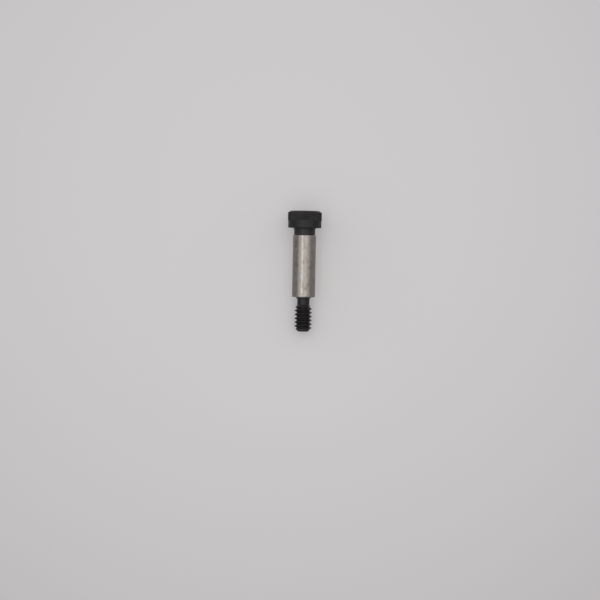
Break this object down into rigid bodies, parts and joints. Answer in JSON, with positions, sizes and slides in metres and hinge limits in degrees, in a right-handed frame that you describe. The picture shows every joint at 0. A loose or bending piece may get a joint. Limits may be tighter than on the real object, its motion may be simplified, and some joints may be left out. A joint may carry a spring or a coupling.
{
  "type": "shoulder bolt",
  "caption": "Socket-head shoulder bolt: banded head with a chamfered top, undercut neck, long smooth ground shoulder, relief groove and a thinner right-hand threaded end.",
  "frame": {"origin": "centre of the head's top face, which the bolt stands on", "axes": "+Z along the bolt's axis, from the head to the thread's end; +X and +Y have no marked direction apart from the socket, whose corners lie on the X axis"},
  "size_m": [0.0094, 0.0094, 0.0332],
  "materials": {
    "steel": "alloy steel: head, neck, relief and thread black oxide, slightly oily; shoulder ground bright, with faint stains"
  },
  "bodies": {
    "root": {"shoulder_bolt": "steel"}
  },
  "joints": []
}
